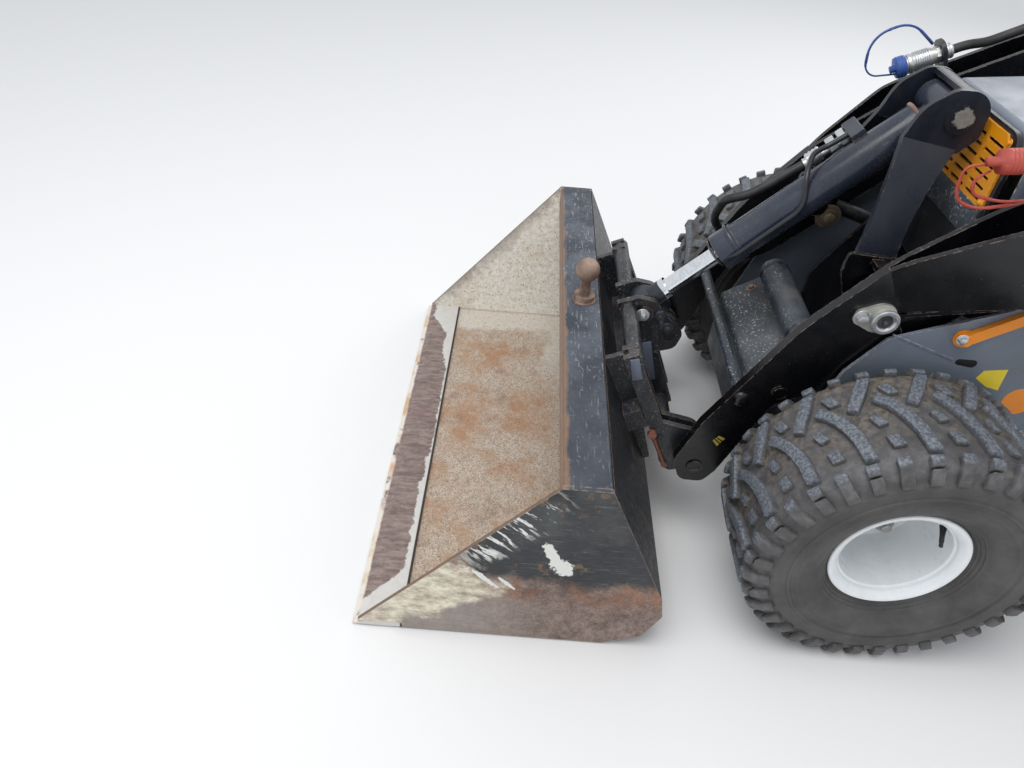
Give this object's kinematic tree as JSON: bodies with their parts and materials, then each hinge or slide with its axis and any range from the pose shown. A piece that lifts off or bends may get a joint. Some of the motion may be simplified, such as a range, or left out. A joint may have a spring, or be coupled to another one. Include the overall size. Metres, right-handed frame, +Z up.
{
  "type": "compact stand-on skid steer loader",
  "caption": "Compact four-wheeled skid steer loader with raised loader arms' cylinders, quick hitch, wide bucket, bonnet, rear console and operator platform.",
  "frame": {"origin": "on the ground, under the middle of the whole length and width", "axes": "+Z up, the bucket points to -Y, the machine's left side is +X"},
  "size_m": [1.086, 2.38, 1.3299],
  "materials": {
    "chassis_black": "satin black paint",
    "panel_grey": "satin grey paint",
    "engine_iron": "painted casting",
    "grille_yellow": "golden yellow paint",
    "console_plastic": "grained black plastic",
    "rail_black": "black powder coat",
    "rest_foam": "black foam skin",
    "arm_black": "gloss black paint, worn edges",
    "zinc_plate": "zinc plated steel",
    "barrel_black": "gloss black paint",
    "strut_orange": "yellow-orange paint",
    "bracket_black": "satin black paint",
    "cap_red": "salmon-red rubber",
    "cap_blue": "blue rubber",
    "hose_rubber": "braided black rubber",
    "lever_copper": "rusty copper-brown steel",
    "rod_chrome": "hard chrome",
    "bucket_black": "scratched black paint with rust",
    "edge_steel": "worn steel with cement residue",
    "ball_rust": "brown rust",
    "tyre_rubber": "dusty rubber",
    "rim_white": "white gloss paint"
  },
  "bodies": {
    "chassis": {"belly_tub": "chassis_black", "bay_wall_left": "chassis_black", "bay_wall_right": "chassis_black", "side_panel_left": "panel_grey", "side_panel_right": "panel_grey", "side_sill_left": "chassis_black", "side_sill_right": "chassis_black", "lift_towers": "chassis_black", "rear_plate": "chassis_black", "hub_motors": "chassis_black", "engine_block": "engine_iron", "suction_pipe": "chassis_black", "grille_surround": "chassis_black", "front_grille": "grille_yellow", "console": "console_plastic", "control_levers": "console_plastic", "grab_rail": "rail_black", "thigh_rest": "rest_foam", "platform": "rail_black", "bonnet_hinge": "chassis_black", "safety_struts": "strut_orange"},
    "bonnet": {"bonnet": "panel_grey"},
    "loader_arms": {"arm_left": "arm_black", "arm_right": "arm_black", "pin_retainers": "zinc_plate", "cross_tube": "arm_black", "portal_left": "arm_black", "portal_right": "arm_black", "portal_saddle": "arm_black", "tilt_pin": "zinc_plate", "coupler_plates": "bracket_black", "couplers": "zinc_plate", "coupler_cap_left": "cap_red", "coupler_cap_right": "cap_blue", "arm_hoses": "hose_rubber", "tilt_hose": "hose_rubber"},
    "tilt_barrel": {"tilt_barrel": "barrel_black", "tilt_pipework": "zinc_plate"},
    "tilt_rod": {"tilt_rod": "rod_chrome"},
    "bucket": {"bucket_shell": "bucket_black", "bucket_rail": "bucket_black", "cutting_edge": "edge_steel", "tow_ball": "ball_rust", "bucket_brackets": "bucket_black", "hitch_frame": "bucket_black", "hitch_locks": "lever_copper"},
    "lift_barrel_left": {"lift_barrel_left": "barrel_black"},
    "lift_barrel_right": {"lift_barrel_right": "barrel_black"},
    "lift_rod_left": {"lift_rod_left": "rod_chrome"},
    "lift_rod_right": {"lift_rod_right": "rod_chrome"},
    "wheel_front_left": {"tyre_front_left": "tyre_rubber", "rim_front_left": "rim_white"},
    "wheel_front_right": {"tyre_front_right": "tyre_rubber", "rim_front_right": "rim_white"},
    "wheel_rear_left": {"tyre_rear_left": "tyre_rubber", "rim_rear_left": "rim_white"},
    "wheel_rear_right": {"tyre_rear_right": "tyre_rubber", "rim_rear_right": "rim_white"}
  },
  "joints": [
    {"name": "lift", "type": "hinge", "parent": "chassis", "child": "loader_arms", "pos_m": [0, 0.66, 1.04], "axis": [-1, 0, 0], "range_deg": [0, 70]},
    {"name": "tilt", "type": "hinge", "parent": "loader_arms", "child": "bucket", "pos_m": [0, -0.542, 0.216], "axis": [1, 0, 0], "range_deg": [-25, 65]},
    {"name": "tilt_cylinder_turn", "type": "hinge", "parent": "loader_arms", "child": "tilt_barrel", "pos_m": [0, -0.218, 0.876], "axis": [1, 0, 0], "range_deg": [-2, 4]},
    {"name": "tilt_rod_slide", "type": "slide", "parent": "tilt_barrel", "child": "tilt_rod", "axis": [0, -0.7015, -0.7127], "range_m": [-0.1, 0.26]},
    {"name": "bonnet_lid", "type": "hinge", "parent": "chassis", "child": "bonnet", "pos_m": [0, 0.596, 0.968], "axis": [-1, 0, 0], "range_deg": [0, 55]},
    {"name": "lift_cylinder_turn_left", "type": "hinge", "parent": "chassis", "child": "lift_barrel_left", "pos_m": [0.205, 0.59, 0.33], "axis": [-1, 0, 0], "range_deg": [0, 50]},
    {"name": "lift_rod_slide_left", "type": "slide", "parent": "lift_barrel_left", "child": "lift_rod_left", "axis": [0, -0.9569, 0.2905], "range_m": [0, 0.7]},
    {"name": "lift_cylinder_turn_right", "type": "hinge", "parent": "chassis", "child": "lift_barrel_right", "pos_m": [-0.205, 0.59, 0.33], "axis": [-1, 0, 0], "range_deg": [0, 50]},
    {"name": "lift_rod_slide_right", "type": "slide", "parent": "lift_barrel_right", "child": "lift_rod_right", "axis": [0, -0.9569, 0.2905], "range_m": [0, 0.7]},
    {"name": "spin_front_left", "type": "hinge", "parent": "chassis", "child": "wheel_front_left", "pos_m": [0.415, -0.234, 0.27], "axis": [1, 0, 0], "continuous": true},
    {"name": "spin_front_right", "type": "hinge", "parent": "chassis", "child": "wheel_front_right", "pos_m": [-0.415, -0.234, 0.27], "axis": [1, 0, 0], "continuous": true},
    {"name": "spin_rear_left", "type": "hinge", "parent": "chassis", "child": "wheel_rear_left", "pos_m": [0.415, 0.506, 0.27], "axis": [1, 0, 0], "continuous": true},
    {"name": "spin_rear_right", "type": "hinge", "parent": "chassis", "child": "wheel_rear_right", "pos_m": [-0.415, 0.506, 0.27], "axis": [1, 0, 0], "continuous": true}
  ],
  "couplings": [
    {"joint": "tilt_cylinder_turn", "follows": "tilt", "ratio": 0.02},
    {"joint": "tilt_rod_slide", "follows": "tilt", "m_per_rad": 0.22372},
    {"joint": "lift_cylinder_turn_left", "follows": "lift", "ratio": 0.69309},
    {"joint": "lift_rod_slide_left", "follows": "lift", "m_per_rad": 0.555},
    {"joint": "lift_cylinder_turn_right", "follows": "lift", "ratio": 0.69309},
    {"joint": "lift_rod_slide_right", "follows": "lift", "m_per_rad": 0.555}
  ]
}
